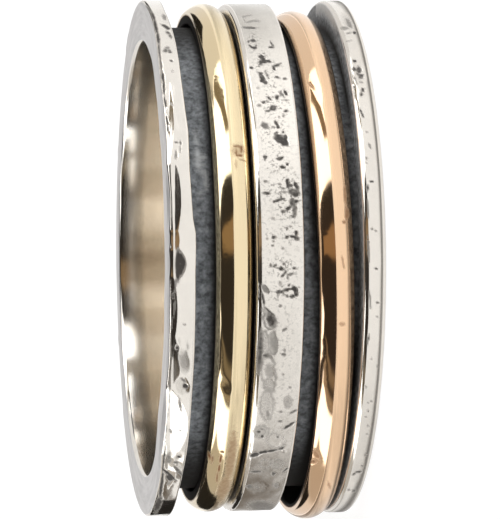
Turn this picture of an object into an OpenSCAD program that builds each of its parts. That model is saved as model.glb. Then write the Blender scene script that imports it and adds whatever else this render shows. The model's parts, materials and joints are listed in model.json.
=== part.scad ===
// Spinner ring: a silver base band with two soldered end rims, and three bands that
// spin in the channel between them. The axis is +Z and the lower rim stands on z = 0.

/* [Base band] */
// Inner diameter, which is the finger size
bore_d = 18.2; // [14:0.1:23]
// Thickness of the sleeve that the bands turn on
sleeve_t = 0.6; // [0.4:0.05:1.2]
// Height of the end rims above the sleeve
rim_h = 1.15; // [0.8:0.05:2]
// Width of the lower end rim
lower_rim_w = 0.9; // [0.6:0.05:2]
// Width of the upper end rim
upper_rim_w = 1.2; // [0.6:0.05:2]
// Rounding of the rims' outer end corners
rim_round = 0.2; // [0.05:0.01:0.25]
// Rounding of the lower rim's corner over the channel
lower_channel_round = 0.2; // [0.03:0.01:0.25]
// Rounding of the upper rim's corner over the channel
upper_channel_round = 0.06; // [0.03:0.01:0.25]
// Rounding where the finger goes in
bore_round = 0.2; // [0.05:0.01:0.25]

/* [Yellow gold band] */
// Width along the axis
yellow_w = 1.4; // [0.8:0.05:3]
// Thickness at the crown
yellow_t = 0.85; // [0.5:0.05:1.5]
// How far its crown stands above its straight side walls
yellow_crown = 0.36; // [0.1:0.02:0.4]

/* [Silver band] */
// Width along the axis
silver_w = 1.85; // [1:0.05:4]
// Thickness
silver_t = 0.85; // [0.6:0.05:1.5]
// Rounding of its upper outer corner
silver_round = 0.2; // [0.05:0.01:0.25]
// Rounding of its other corners
silver_edge = 0.06; // [0.03:0.01:0.1]

/* [Rose gold band] */
// Width along the axis
rose_w = 1.35; // [0.8:0.05:3]
// Thickness at the crown
rose_t = 0.62; // [0.45:0.01:1.5]
// How far its crown stands above its straight side walls
rose_crown = 0.32; // [0.1:0.02:0.36]

/* [Fits] */
// Clearance between the sleeve and the yellow gold and silver bands
band_clearance = 0.15; // [0.08:0.01:0.3]
// Clearance between the sleeve and the rose gold band, which is the loose one
rose_clearance = 0.42; // [0.15:0.01:0.6]
// Least gap where the rose gold band hangs against the sleeve
hang_gap = 0.07; // [0.05:0.01:0.1]
// How far the loose rose gold band leans towards the lower rim, in degrees
rose_lean = 1.1; // [0:0.1:1.2]
// Gap from the lower rim up to the rose gold band, at its middle
lower_gap = 0.32; // [0.3:0.01:1]
// Gap from the rose gold band up to the silver band, at its middle
rose_gap = 0.63; // [0.3:0.01:1]
// Gap from the silver band up to the yellow gold band
silver_gap = 0.12; // [0.1:0.01:1]
// Gap from the yellow gold band up to the upper rim
upper_gap = 0.83; // [0.1:0.01:1]

/* [Hidden] */
$fn = 128;

bore_r = bore_d / 2;
sleeve_r = bore_r + sleeve_t;
rim_t = sleeve_t + rim_h;

rose_z = lower_rim_w + lower_gap + rose_w / 2;
silver_z = rose_z + rose_w / 2 + rose_gap;
yellow_z = silver_z + silver_w + silver_gap;
upper_rim_z = yellow_z + yellow_w + upper_gap;
ring_w = upper_rim_z + upper_rim_w;

// How far the rose gold band hangs sideways, along -X, which is also the side that leans low
rose_hang = rose_clearance - hang_gap - rose_w / 2 * sin(rose_lean);

SILVER = [0.86, 0.84, 0.81];
YELLOW_GOLD = [0.87, 0.77, 0.5];
ROSE_GOLD = [0.88, 0.68, 0.5];

// What a rounding of radius r takes off a section's lower inner corner at [0, 0]
module rounding_cut(r) {
    if (r > 0) difference() {
        translate([-r, -r]) square(2 * r);
        translate([r, r]) circle(r);
    }
}

// A section t thick and w wide, with its inner lower corner at [0, 0].
// The roundings are those of the inner low, outer low, outer high and inner high corners.
module rounded_section(t, w, inner_low, outer_low, outer_high, inner_high) {
    difference() {
        square([t, w]);
        rounding_cut(inner_low);
        translate([t, 0]) mirror([1, 0]) rounding_cut(outer_low);
        translate([t, w]) mirror([1, 0]) mirror([0, 1]) rounding_cut(outer_high);
        translate([0, w]) mirror([0, 1]) rounding_cut(inner_high);
    }
}

// A half-round section: straight side walls, and above them a crown that is one arc from wall
// to wall
module half_round_section(t, w, crown) {
    crown_r = (crown * crown + w * w / 4) / (2 * crown);
    square([t - crown, w]);
    intersection() {
        translate([t - crown_r, w / 2]) circle(crown_r);
        square([t, w]);
    }
}

// Sleeve and rims, soldered into one solid
module base_band() {
    color(SILVER) rotate_extrude() translate([bore_r, 0]) {
        translate([0, bore_round]) square([sleeve_t, ring_w - 2 * bore_round]);
        rounded_section(rim_t, lower_rim_w, bore_round, rim_round, lower_channel_round, 0);
        translate([0, upper_rim_z])
            rounded_section(rim_t, upper_rim_w, 0, upper_channel_round, rim_round,
                            bore_round);
    }
}

module yellow_gold_spinner() {
    color(YELLOW_GOLD) translate([0, 0, yellow_z]) rotate_extrude()
        translate([sleeve_r + band_clearance, 0])
            half_round_section(yellow_t, yellow_w, yellow_crown);
}

module silver_spinner() {
    color(SILVER) translate([0, 0, silver_z]) rotate_extrude()
        translate([sleeve_r + band_clearance, 0])
            rounded_section(silver_t, silver_w, silver_edge, silver_edge, silver_round,
                            silver_edge);
}

module rose_gold_spinner() {
    color(ROSE_GOLD) translate([-rose_hang, 0, rose_z]) rotate([0, -rose_lean, 0])
        rotate_extrude() translate([sleeve_r + rose_clearance, -rose_w / 2])
            half_round_section(rose_t, rose_w, rose_crown);
}

base_band();
yellow_gold_spinner();
silver_spinner();
rose_gold_spinner();
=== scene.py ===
"""Looks of the spinner ring: hammered silver, two gold bands and a plain studio around the frame."""

import json
import math
from collections import namedtuple

import bmesh
import bpy
import numpy as np
from bpy.props import FloatProperty, FloatVectorProperty, IntProperty, PointerProperty
from mathutils import Matrix, Vector, noise


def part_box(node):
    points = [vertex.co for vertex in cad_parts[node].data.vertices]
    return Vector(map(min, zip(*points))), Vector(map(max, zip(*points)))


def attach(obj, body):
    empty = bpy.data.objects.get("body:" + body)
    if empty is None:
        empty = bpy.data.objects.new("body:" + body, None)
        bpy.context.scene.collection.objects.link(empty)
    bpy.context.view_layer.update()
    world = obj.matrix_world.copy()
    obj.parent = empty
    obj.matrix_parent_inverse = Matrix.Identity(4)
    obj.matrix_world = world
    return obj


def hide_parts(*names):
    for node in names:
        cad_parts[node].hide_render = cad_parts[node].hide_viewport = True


bl_info = {
    "name": "Spinner Ring",
    "version": (1, 0, 0),
    "blender": (4, 5, 0),
    "location": "View3D > Sidebar > Ring",
    "description": "Models a hammered silver spinner ring with gold bands and its studio",
    "category": "Object",
}

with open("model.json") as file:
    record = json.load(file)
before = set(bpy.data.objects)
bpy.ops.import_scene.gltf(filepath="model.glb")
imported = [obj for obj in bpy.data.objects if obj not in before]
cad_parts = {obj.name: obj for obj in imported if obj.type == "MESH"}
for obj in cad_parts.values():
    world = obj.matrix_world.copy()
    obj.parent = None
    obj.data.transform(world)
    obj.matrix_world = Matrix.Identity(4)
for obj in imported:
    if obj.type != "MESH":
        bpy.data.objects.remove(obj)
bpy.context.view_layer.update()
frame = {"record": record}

MM = 0.001
UM = 0.000001
# How near lengths are to each other to count as the same, and as next to each other
SAME = 0.002 * MM
CLOSE = 0.01 * MM
# How near points are merged along the seam of a turned piece, and then anywhere in it
SEAM = 0.0001 * MM
WELD = 0.001 * MM
BASE_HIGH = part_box("base_band")[1]
FINGER = next(m for m in frame["record"]["mounts"] if m["name"] == "finger")
BORE_R = FINGER["dims"]["r_mm"] * MM
# How far out the bore's surface, its faces and its rounded ends reach
BORE_SKIN, BORE_FACES, BORE_ENDS = BORE_R + 0.05 * MM, BORE_R + 0.1 * MM, BORE_R + 0.2 * MM
RIM_R = BASE_HIGH.x
RING_W = BASE_HIGH.z

# The photograph's frame, and where the middle of the ring's axis stands in it, in pixels
PHOTO_W, PHOTO_H = 500, 519
RING_AT = (238.9, 257.4)
# The width of the camera's sensor, in millimetres
SENSOR = 36.0


class RingSizes(bpy.types.PropertyGroup):
    """Sizes that the frame's boxes don't say."""

    sleeve_t: FloatProperty(
        name="Sleeve thickness", description="Wall between the bore and the channel",
        default=0.6 * MM, unit="LENGTH", precision=5)
    lower_rim_w: FloatProperty(
        name="Lower rim width", description="Width of the narrow end rim",
        default=0.9 * MM, unit="LENGTH", precision=5)
    upper_rim_w: FloatProperty(
        name="Upper rim width", description="Width of the wide end rim",
        default=1.2 * MM, unit="LENGTH", precision=5)
    rim_round: FloatProperty(
        name="Rim rounding", description="Rounding of the rims' outer end corners",
        default=0.2 * MM, unit="LENGTH", precision=5)
    bore_round: FloatProperty(
        name="Bore rounding", description="Rounding where the finger goes in",
        default=0.2 * MM, unit="LENGTH", precision=5)
    lower_channel_round: FloatProperty(
        name="Lower channel rounding", description="Rounding of the lower rim's corner over the channel",
        default=0.2 * MM, unit="LENGTH", precision=5)
    small_round: FloatProperty(
        name="Small rounding",
        description="Rounding of the upper channel corner and the silver band's edges",
        default=0.06 * MM, unit="LENGTH", precision=5)
    silver_round: FloatProperty(
        name="Silver band rounding", description="Rounding of the silver band's upper outer corner",
        default=0.2 * MM, unit="LENGTH", precision=5)
    band_clearance: FloatProperty(
        name="Band clearance", description="Radial play of the yellow gold and silver bands",
        default=0.15 * MM, unit="LENGTH", precision=5)
    rose_clearance: FloatProperty(
        name="Rose gold clearance", description="Radial play of the loose rose gold band",
        default=0.42 * MM, unit="LENGTH", precision=5)
    yellow_w: FloatProperty(
        name="Yellow gold width", description="Width of the yellow gold band",
        default=1.4 * MM, unit="LENGTH", precision=5)
    yellow_crown: FloatProperty(
        name="Yellow gold crown", description="Rise of its crown above its straight side walls",
        default=0.36 * MM, unit="LENGTH", precision=5)
    rose_w: FloatProperty(
        name="Rose gold width", description="Width of the rose gold band",
        default=1.35 * MM, unit="LENGTH", precision=5)
    rose_crown: FloatProperty(
        name="Rose gold crown", description="Rise of its crown above its straight side walls",
        default=0.32 * MM, unit="LENGTH", precision=5)
    rose_t: FloatProperty(
        name="Rose gold thickness", description="Thickness of the rose gold band at its crown",
        default=0.62 * MM, unit="LENGTH", precision=5)
    rose_lean: FloatProperty(
        name="Rose gold lean", description="How far the loose band leans towards the lower rim",
        default=math.radians(1.1), subtype="ANGLE")


class HammerWork(bpy.types.PropertyGroup):
    """How the metal is worked."""

    base_steps: IntProperty(
        name="Base steps", description="Faces round the base band", default=980, min=64, max=2000)
    band_steps: IntProperty(
        name="Band steps", description="Faces round the silver band", default=1600, min=64, max=2000)
    gold_steps: IntProperty(
        name="Gold steps", description="Faces round each gold band", default=1200, min=64, max=2000)
    ripple: FloatProperty(
        name="Ripple", description="Depth of the hammer ripple on the smooth parts of the silver",
        default=3 * UM, unit="LENGTH", precision=6)
    rough_ripple: FloatProperty(
        name="Rough ripple", description="Depth of the hammer ripple on the rough parts of the silver",
        default=16 * UM, unit="LENGTH", precision=6)
    gold_ripple: FloatProperty(
        name="Gold ripple", description="Depth of the unevenness of the gold",
        default=4 * UM, unit="LENGTH", precision=6)
    bore_ripple: FloatProperty(
        name="Bore ripple", description="Depth of the bore's unevenness",
        default=14 * UM, unit="LENGTH", precision=6)
    end_ripple: FloatProperty(
        name="End face ripple", description="Depth of the upper end face's unevenness",
        default=8 * UM, unit="LENGTH", precision=6)


class MetalColours(bpy.types.PropertyGroup):
    """Colours of the metals."""

    silver: FloatVectorProperty(
        name="Silver", description="Polished silver", subtype="COLOR", default=(0.79, 0.75, 0.69))
    # The bore is a lighter copy of the silver: painted light inside the ring
    bore: FloatVectorProperty(
        name="Bore", description="Polished silver inside the ring", subtype="COLOR",
        default=(0.88, 0.845, 0.79))
    # Painted reflection: the brown bands of the bore
    tarnish: FloatVectorProperty(
        name="Painted bore bands", description="Brown bands of the bore", subtype="COLOR",
        default=(0.50, 0.43, 0.34))
    satin: FloatVectorProperty(
        name="Satin silver", description="Brushed end faces", subtype="COLOR",
        default=(0.78, 0.77, 0.77))
    yellow_gold: FloatVectorProperty(
        name="Yellow gold", description="Half-round yellow gold band", subtype="COLOR",
        default=(0.82, 0.68, 0.44))
    rose_gold: FloatVectorProperty(
        name="Rose gold", description="Half-round rose gold band", subtype="COLOR",
        default=(0.86, 0.60, 0.39))
    oxide: FloatVectorProperty(
        name="Black oxide", description="Blackened channel", subtype="COLOR",
        default=(0.17, 0.18, 0.19))
    worn_oxide: FloatVectorProperty(
        name="Worn oxide", description="Where the channel's blackening has worn thin", subtype="COLOR",
        default=(0.62, 0.63, 0.63))
    # Oxide in the pits; the same colour paints shade and dark reflections on the silver, and at 0.3 on
    # the channel and the gold's walls
    pit_dirt_and_shade: FloatVectorProperty(
        name="Dark pits", description="Oxide in the pits of the silver", subtype="COLOR",
        default=(0.055, 0.048, 0.042))
    # Brown stains, and painted shade on the yellow band's lower flank
    stain: FloatVectorProperty(
        name="Stain", description="Brown stains on the gold", subtype="COLOR",
        default=(0.25, 0.11, 0.045))


class StudioSetup(bpy.types.PropertyGroup):
    """Camera and light."""

    distance: FloatProperty(
        name="Camera distance", description="From the middle of the ring",
        default=112.1 * MM, unit="LENGTH")
    elevation: FloatProperty(
        name="Camera elevation", description="Above the floor",
        default=math.radians(7.7), subtype="ANGLE")
    roll: FloatProperty(
        name="Camera roll",
        description="Beyond the quarter turn that lays the ring's axis level in the picture",
        default=math.radians(-0.58), subtype="ANGLE")
    focal_px: FloatProperty(
        name="Focal length in pixels", description="In the photograph's frame", default=2643.7)
    floor_glow: FloatProperty(
        name="Floor glow", description="Light that the floor gives off by itself", default=0.82)


def settings():
    """The four groups of settings."""
    scene = bpy.context.scene
    return scene.ring_sizes, scene.ring_hammer, scene.ring_colours, scene.ring_studio


# Marks charted from the photograph

# A mark: its middle and half-lengths in the photograph's pixels, the turn of its long side in degrees
# from the picture's right towards its bottom, its depth in micrometres, and how dark it is
Mark = namedtuple("Mark", "x y long wide turn deep dark")


def chart(*rows, of=Mark):
    """A chart of marks, or of rows of another kind."""
    return tuple(of(*row) for row in rows)


BAND_PITS = chart(
    (246, 16, 5, 1.1, -10, 5, 0.26),
    (244, 20, 4, 0.9, 70, 4, 0.21),
    (250, 21.5, 4.5, 1.2, -10, 5, 0.3),
    (256, 21, 4, 1.5, 0, 4, 0.26),
    (249, 27.5, 7, 1.3, 3, 10, 0.51),
    (252.5, 37, 2.5, 1, 90, 4, 0.26),
    (253, 40.5, 2.5, 1.6, 0, 11, 0.59),
    (248.5, 41.5, 1.6, 1.2, 0, 8, 0.51),
    (251, 46.5, 3, 1.1, 35, 9, 0.51),
    (254, 47.5, 2.6, 1.5, 0, 11, 0.64),
    (256, 46, 2, 1, 90, 8, 0.51),
    (271.5, 43.5, 3, 1.1, 60, 9, 0.51),
    (271, 47, 3, 1.1, 0, 9, 0.51),
    (273, 46, 2, 1, 90, 8, 0.42),
    (262, 57.5, 4.5, 2, 45, 14, 0.72),
    (264, 61.5, 3, 1.9, 0, 14, 0.77),
    (268, 61, 4, 1.3, 15, 11, 0.64),
    (261, 62, 2, 2, 0, 11, 0.59),
    (261, 64.5, 3, 1, 0, 5, 0.34),
    (277, 65, 4, 1.3, -20, 11, 0.59),
    (274, 68, 3, 1.4, 55, 12, 0.68),
    (278.5, 64.5, 1.5, 1.2, 90, 9, 0.51),
    (251.5, 67.5, 2, 1.4, 0, 10, 0.59),
    (260.5, 73, 3, 1.1, 20, 8, 0.42),
    (262, 77, 6.5, 2, 55, 12, 0.64),
    (265, 82, 3, 1.8, 45, 12, 0.64),
    (261.5, 80.5, 1.7, 1.7, 0, 12, 0.72),
    (267, 74.5, 3.5, 1.2, 60, 5, 0.34),
    (277, 77, 2.8, 1.1, 20, 9, 0.51),
    (285, 78.5, 2, 1.2, 0, 8, 0.42),
    (258, 88, 1.5, 1.2, 0, 4, 0.26),
    (285.5, 92.5, 3, 1.3, 60, 11, 0.64),
    (281, 93, 3, 1.2, 90, 5, 0.34),
    (283, 95, 3, 1, 60, 5, 0.34),
    (277, 97.5, 2.5, 1.8, 90, 10, 0.59),
    (269.5, 98.5, 3, 1.1, 40, 9, 0.51),
    (263.5, 102, 2, 1.3, 0, 9, 0.51),
    (285, 100, 4, 0.9, 0, 3, 0.21),
    (259.5, 105.5, 2, 1.3, 0, 4, 0.3),
    (273, 108, 3.5, 3, 0, 12, 0.55),
    (268, 111, 2.4, 1.1, 0, 8, 0.51),
    (286, 111, 2.5, 1.3, 0, 9, 0.51),
    (283.5, 116, 1.5, 1.3, 90, 5, 0.34),
    (279, 117, 1.3, 1, 90, 4, 0.26),
    (265, 125.5, 4.2, 3, 30, 8, 0.42),
    (276.5, 123.5, 4.5, 1.4, 55, 10, 0.55),
    (278, 127, 1.5, 1.3, 0, 9, 0.59),
    (273, 127, 2, 0.9, 0, 4, 0.26),
    (283, 132, 1.2, 1.1, 90, 8, 0.51),
    (276, 133.5, 2.5, 1.5, -30, 8, 0.42),
    (281, 139.5, 7, 3.8, 40, 17, 0.68),
    (285.5, 143, 3, 2.4, 0, 17, 0.77),
    (285.5, 137.5, 2.8, 2, 90, 14, 0.68),
    (277, 138, 3, 2.4, 0, 9, 0.51),
    (265.5, 157, 2.3, 1.6, 0, 9, 0.55),
    (265, 159, 2, 1.1, 90, 6, 0.42),
    (279.5, 158.5, 3.6, 1.7, -15, 11, 0.64),
    (287.5, 164.5, 1.4, 1.4, 0, 11, 0.64),
    (283, 167, 3, 1.5, 20, 13, 0.72),
    (276.5, 167, 1.1, 0.9, 0, 3, 0.21),
    (288.5, 170, 1.1, 1, 0, 4, 0.26),
    (265.5, 181.5, 2.4, 1.4, 0, 6, 0.38),
    (266.5, 193.5, 3.8, 1.4, 0, 10, 0.55),
    (279, 184, 1.8, 1.1, 0, 5, 0.34),
    (287.5, 182, 3.3, 1.5, 90, 13, 0.72),
    (289.5, 185.5, 3, 2, 0, 12, 0.68),
    (283, 188.5, 2, 1.1, 0, 5, 0.34),
    (296, 186, 5, 1.5, 60, 11, 0.64),
    (293, 192, 4.4, 3.6, 0, 10, 0.51),
    (296, 195, 2.6, 2.2, 0, 15, 0.81),
    (281, 197, 2, 1.2, 90, 6, 0.42),
    (279, 200, 5.5, 1.4, -20, 10, 0.59),
    (286, 192, 4, 1.1, 0, 4, 0.3),
    (292, 202, 3.5, 2.5, 90, 10, 0.55),
    (296, 201.5, 2.1, 1.7, 0, 11, 0.64),
    (274.5, 201.5, 1.7, 1.3, 0, 8, 0.51),
    (288.5, 208, 2.5, 1.5, -25, 13, 0.72),
    (283, 211.5, 1.9, 1.7, 0, 9, 0.51),
    (294.5, 210, 6.5, 2.1, 90, 8, 0.42),
    (293.5, 216.5, 2, 1.5, 0, 7, 0.42),
    (273, 218.5, 2, 1.5, 0, 3, 0.21),
    (287, 228.5, 1.6, 1.3, 90, 7, 0.42),
    (290.5, 226.5, 2, 1.1, 0, 4, 0.3),
    (274, 237, 2.1, 1.6, 0, 9, 0.51),
    (267, 238.5, 1.3, 1.2, 0, 4, 0.26),
    (287, 237, 2.5, 1.3, -30, 9, 0.51),
    (292.5, 236.5, 3, 1.5, 0, 11, 0.64),
    (296, 233, 2.4, 1.5, 90, 10, 0.55),
    (296.5, 238.5, 2.5, 2.3, 0, 9, 0.51),
    (273.5, 241.5, 1.3, 1, 0, 4, 0.26),
    (273, 245.5, 1.6, 1.3, 0, 5, 0.34),
    (282.5, 248, 1.4, 1.3, 0, 4, 0.26),
    (270.5, 265.5, 2, 1.2, 90, 5, 0.34),
    (275, 265.5, 2.5, 1.3, -35, 8, 0.47),
    (278.5, 268, 2.6, 1, 0, 7, 0.42),
    (281, 269, 2.1, 1.8, 0, 11, 0.64),
    (283.5, 264, 1.6, 1.2, 90, 4, 0.26),
    (283.5, 274.5, 4, 1.2, -50, 8, 0.47),
    (294.5, 268, 1.7, 1.3, 0, 9, 0.51),
    (290, 274.5, 3.5, 1.3, -15, 6, 0.38),
    (287.5, 277.5, 1.5, 1.2, 90, 4, 0.26),
    (289, 285, 1.4, 1.2, 90, 4, 0.3),
    (280.5, 284, 2.5, 2, 90, 3, 0.17),
    (294.5, 289, 3.4, 2.3, 50, 14, 0.77),
    (296, 293.5, 2.6, 1.6, 90, 14, 0.77),
    (286, 290, 4.5, 1.3, -12, 10, 0.59),
    (279.5, 292, 3.2, 1.6, 0, 9, 0.51),
    (278, 295, 2, 1.1, 90, 5, 0.34),
    (287, 296, 1.8, 1.6, 90, 7, 0.42),
    (292.5, 296.5, 2.1, 1.7, 0, 11, 0.64),
    (284, 295, 2, 1.1, 0, 4, 0.26),
    (280.5, 306, 1.7, 1.4, 0, 4, 0.3),
    (284.5, 329.5, 2.5, 1.2, -30, 5, 0.34),
    (284.5, 350, 2, 1.2, 90, 4, 0.26),
    (283.5, 354.5, 2.5, 1.3, 0, 7, 0.42),
    (283, 374.5, 1.4, 1.3, 0, 3, 0.21),
    (290, 387.5, 1.5, 1.1, 0, 4, 0.3),
    (265.5, 355.5, 3, 1.9, 0, 8, 0.47),
    (293, 412, 4.2, 1.2, -32, 8, 0.47),
    (289.5, 425.5, 6, 1.2, -32, 13, 0.72),
    (280.5, 412, 2, 1.1, 0, 5, 0.34),
    (280.5, 421.5, 2.8, 1.3, 0, 6, 0.38),
    (262, 429.5, 1.4, 1, 0, 6, 0.42),
    (259, 432, 1.6, 1.2, 0, 7, 0.51),
    (262, 437, 1.5, 1.3, 0, 9, 0.59),
    (278, 437.5, 1.4, 1.2, 0, 7, 0.42),
    (255, 455, 5, 2, -20, 15, 0.68),
    (263, 452.5, 5, 1.4, -12, 14, 0.68),
    (272, 451, 6, 1.2, -8, 13, 0.64),
    (281.5, 448.5, 3, 1.3, -20, 10, 0.51),
    (256, 472, 5.5, 1.3, 0, 8, 0.47),
    (273.5, 474, 2.1, 1.7, 0, 8, 0.51),
    (285.5, 470, 3, 1.1, -35, 10, 0.59),
    (249.5, 487, 3.3, 1.7, 0, 7, 0.42),
    (257.5, 487.5, 2.3, 1.3, 0, 4, 0.3),
    (276.5, 485.5, 2.6, 2.5, 0, 4, 0.26),
)

# Where the silver band is finely specked
BAND_SPECKS = chart(
    (253, 42, 9, 8, 80, 0, 0.5),
    (262, 63, 12, 8, 75, 0, 0.65),
    (276, 66, 6, 5, 0, 0, 0.6),
    (271, 77, 16, 8, 75, 0, 0.55),
    (274, 103, 15, 14, 80, 0, 0.6),
    (275, 135, 15, 13, 80, 0, 0.6),
    (276, 161, 13, 11, 80, 0, 0.6),
    (288, 196, 24, 12, 85, 0, 1.0),
    (271, 190, 12, 8, 85, 0, 0.45),
    (291, 233, 11, 9, 90, 0, 0.85),
    (271, 240, 8, 6, 90, 0, 0.6),
    (282, 268, 14, 9, 0, 0, 0.75),
    (285, 292, 13, 8, 0, 0, 0.95),
    (285, 335, 40, 12, 90, 0, 0.2),
    (283, 410, 50, 12, 95, 0, 0.16),
    (268, 475, 26, 20, 100, 0, 0.22),
    (270, 220, 140, 30, 88, 0, 0.15),
)

# Facets and hollows that the hammer left, mostly in the silver band's rougher end: their dents are
# pressed in, and their darkness, with that of the darker end and bottom tip, is painted shade
BAND_SHADES = chart(
    (263, 299.5, 7, 0.9, 80, 8, 0.6),
    (269.5, 311.5, 7.5, 0.9, 42, 8, 0.55),
    (270.5, 321, 6, 3.6, 70, 8, 0.6),
    (272, 317, 7, 1.6, 50, 6, 0.45),
    (266, 312, 5, 3, 40, 0, 0.2),
    (273, 343, 10.5, 3.8, 88, 12, 0.25),
    (265, 343, 11, 3.5, 88, 6, 0.12),
    (266.5, 356, 3.5, 2, 10, 8, 0.4),
    (270.5, 357, 2.5, 1.6, 60, 8, 0.3),
    (260, 352, 20, 2.3, 93, 14, 0.5),
    (269, 371, 8, 4.5, 80, 10, 0.2),
    (269, 384, 7, 5, 20, 10, 0.14),
    (275, 384, 1.3, 1.1, 0, -8, 0),
    (267, 405, 13, 6, 92, 10, 0.12),
    (268, 414, 4, 2, 90, 6, 0.3),
    (261.5, 432, 7, 6, 0, 10, 0.18),
    (288, 402, 5, 3.2, 90, 8, 0.18),
    (276, 440, 8, 6, 0, 10, 0),
    (284, 451, 2, 1.5, 0, -12, 0),
    (277, 464, 6, 4, 0, 8, 0.15),
    (262, 470, 8, 5, 0, 8, 0.08),
    (258, 488, 8, 5, 0, 8, 0.1),
    (262, 507, 14, 6, 8, 0, 0.4),
    (256, 288, 9, 2.5, 78, 14, 0.1),
    (265, 289, 5, 2.3, 55, 14, 0.35),
    (266, 175, 7, 4, 0, 4, 0),
    (270, 255, 10, 8, 0, 4, 0),
    (290, 250, 9, 7, 0, 4, 0),
)

# Painted shade along the outlines of hollows
BAND_RINGS = chart(
    (269.5, 321, 8.5, 5.5, 70, 0, 0.3),
    (273, 343, 11, 4.4, 88, 0, 0.25),
    (265.5, 343, 11, 3.4, 88, 0, 0.22),
    (268.5, 373, 18, 7, 85, 0, 0.22),
    (269, 385, 6, 5, 80, 0, 0.22),
    (267, 405, 14, 6.5, 92, 0, 0.21),
    (261.5, 432, 7.5, 6, 0, 0, 0.26),
    (261.5, 432, 4, 3, 0, 0, 0.3),
    (288, 402, 5.5, 3.8, 90, 0, 0.22),
    (276, 441, 9, 7, 20, 0, 0.15),
    (277, 464, 6.5, 4.5, 0, 0, 0.22),
    (265, 464, 5, 4, 0, 0, 0.19),
)

# Small dark pits of the upper rim
UPPER_RIM_PITS = chart(
    (164.5, 17, 3, 1.6, 60, 7, 0.35),
    (165.5, 26.5, 4.3, 1.4, 30, 16, 0.8),
    (168.5, 28.5, 1.8, 1.2, 0, 11, 0.6),
    (168, 32.5, 2.2, 1.3, 30, 9, 0.5),
    (170.5, 36, 2.6, 1.2, 60, 7, 0.45),
    (165.5, 50.5, 2.3, 2, 0, 10, 0.45),
    (169.5, 51, 2.3, 1.8, 60, 10, 0.45),
    (167.5, 47.5, 2.3, 1.1, 0, 7, 0.35),
    (171, 60.5, 2, 1, 25, 9, 0.5),
    (172.5, 71, 1.5, 1.5, 0, 3, 0.15),
    (172, 104.5, 2.5, 1.2, 50, 4, 0.2),
    (176.5, 142.5, 2.1, 1.1, 20, 8, 0.5),
    (180.5, 142.5, 2.1, 1.2, 90, 7, 0.4),
    (180.5, 149, 3, 1.1, 90, 5, 0.25),
    (176, 155.5, 4.5, 1.6, 90, 7, 0.3),
    (184.5, 325, 1.5, 1, 0, 4, 0.2),
    (177, 348, 2, 1.5, 90, 11, 0.6),
    (185.5, 386.5, 3, 2.4, 70, 16, 0.75),
    (183.5, 380.5, 3.5, 1.2, 40, 8, 0.4),
    (180, 404, 7, 1.3, 80, 6, 0.35),
    (180.5, 431.5, 1.5, 1, 0, 5, 0.3),
    (171, 433, 2.6, 1, 60, 6, 0.35),
    (179, 457.5, 1.8, 1.3, 0, 12, 0.7),
    (176, 463.5, 3, 1.3, 0, 8, 0.45),
    (169, 461, 5, 2.5, 90, 6, 0.35),
    (178, 471, 6, 1.6, 45, 11, 0.5),
    (169, 475.5, 8.5, 1.4, 35, 18, 0.85),
    (169.5, 479, 3.4, 2.4, 20, 16, 0.75),
    (169, 484, 3, 1.2, -45, 5, 0.3),
)

# The crease between the upper end face and the rim's outside, pressed in, with its dark reflection
# painted; lower down only the painted dark line is left
UPPER_RIM_CREASE = chart(
    (149, 9, 5, 1.2, 50, 15, 0.4),
    (153, 16, 5, 1.4, 68, 25, 0.75),
    (155.5, 26, 7, 1.5, 78, 30, 0.8),
    (158, 38, 6, 1.5, 82, 30, 0.75),
    (159, 50, 8, 1.2, 85, 20, 0.5),
    (161, 65, 8, 1.2, 83, 20, 0.5),
    (162.8, 77, 4, 1.5, 84, 30, 0.85),
    (163.6, 88, 8, 1.4, 88, 25, 0.6),
    (164.6, 101, 6, 1.3, 78, 25, 0.65),
    (166.8, 120, 6, 1.3, 80, 30, 0.75),
    (167.6, 128, 3, 1.3, 88, 25, 0.6),
    (162.5, 148, 7, 1.2, 85, 12, 0.3),
    (175.5, 285, 8, 0.8, 95, 0, 0.4),
    (173, 296, 3, 1.7, 90, 12, 0.55),
    (174.5, 308, 9, 0.8, 95, 0, 0.35),
    (171.5, 325, 7, 0.8, 97, 0, 0.35),
    (170.5, 350, 18, 0.7, 90, 0, 0.35),
    (169.8, 385, 16, 0.7, 92, 0, 0.35),
    (166.5, 425, 22, 0.8, 95, 0, 0.4),
    (163.5, 462, 12, 1.2, 97, 15, 0.7),
    (161.5, 485, 13, 1.5, 98, 20, 0.8),
    (158, 505, 8, 3, 110, 12, 0.7),
)

# A facet that the hammer left on the upper rim: where its right edge is furthest right, how far it
# goes up and down from there, how wide it is, and how deep it cuts at its left edge
Facet = namedtuple("Facet", "x y long wide deep")
UPPER_RIM_FACETS = chart(
    (173.5, 120, 40, 4, 40),
    (180.5, 200, 36, 4.6, 70),
    (179, 240, 12, 3, 40),
    (186.5, 264, 17, 9, 40),
    (177, 310, 40, 5, 40),
    (181, 360, 26, 8, 36),
    (188, 425, 36, 17, 110),
    (176, 470, 20, 8, 70),
    of=Facet)

# Shallow hollows of the upper rim
UPPER_RIM_HOLLOWS = chart(
    (184, 362, 9, 4, 80, 14, 0.2),
    (175, 372, 10, 3.5, 90, 8, 0.05),
    (183, 386, 7, 4.5, 75, 24, 0.04),
    (183, 346, 7, 5, 80, 10, 0),
    (176, 458, 6, 5, 0, 26, 0.05),
    (171, 466, 6, 4, 30, 26, 0.05),
    (180, 468, 5, 3, 60, 22, 0.05),
    (169, 491, 7, 6, 0, 20, 0),
    (175, 484, 5, 4, 0, 16, 0),
    (170, 90, 9, 4, 85, 8, 0),
    (180, 120, 10, 4, 80, 8, 0),
    (166, 60, 7, 4, 80, 8, 0),
)

# Painted dark reflection in the smooth facet on the upper rim's front
UPPER_RIM_SHADES = chart(
    (178, 265, 15.5, 2.4, 90, 0, 0.85),
    (180.5, 264, 11, 3.2, 90, 0, 0.85),
    (182.5, 263.5, 7, 3, 90, 0, 0.85),
)

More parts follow.
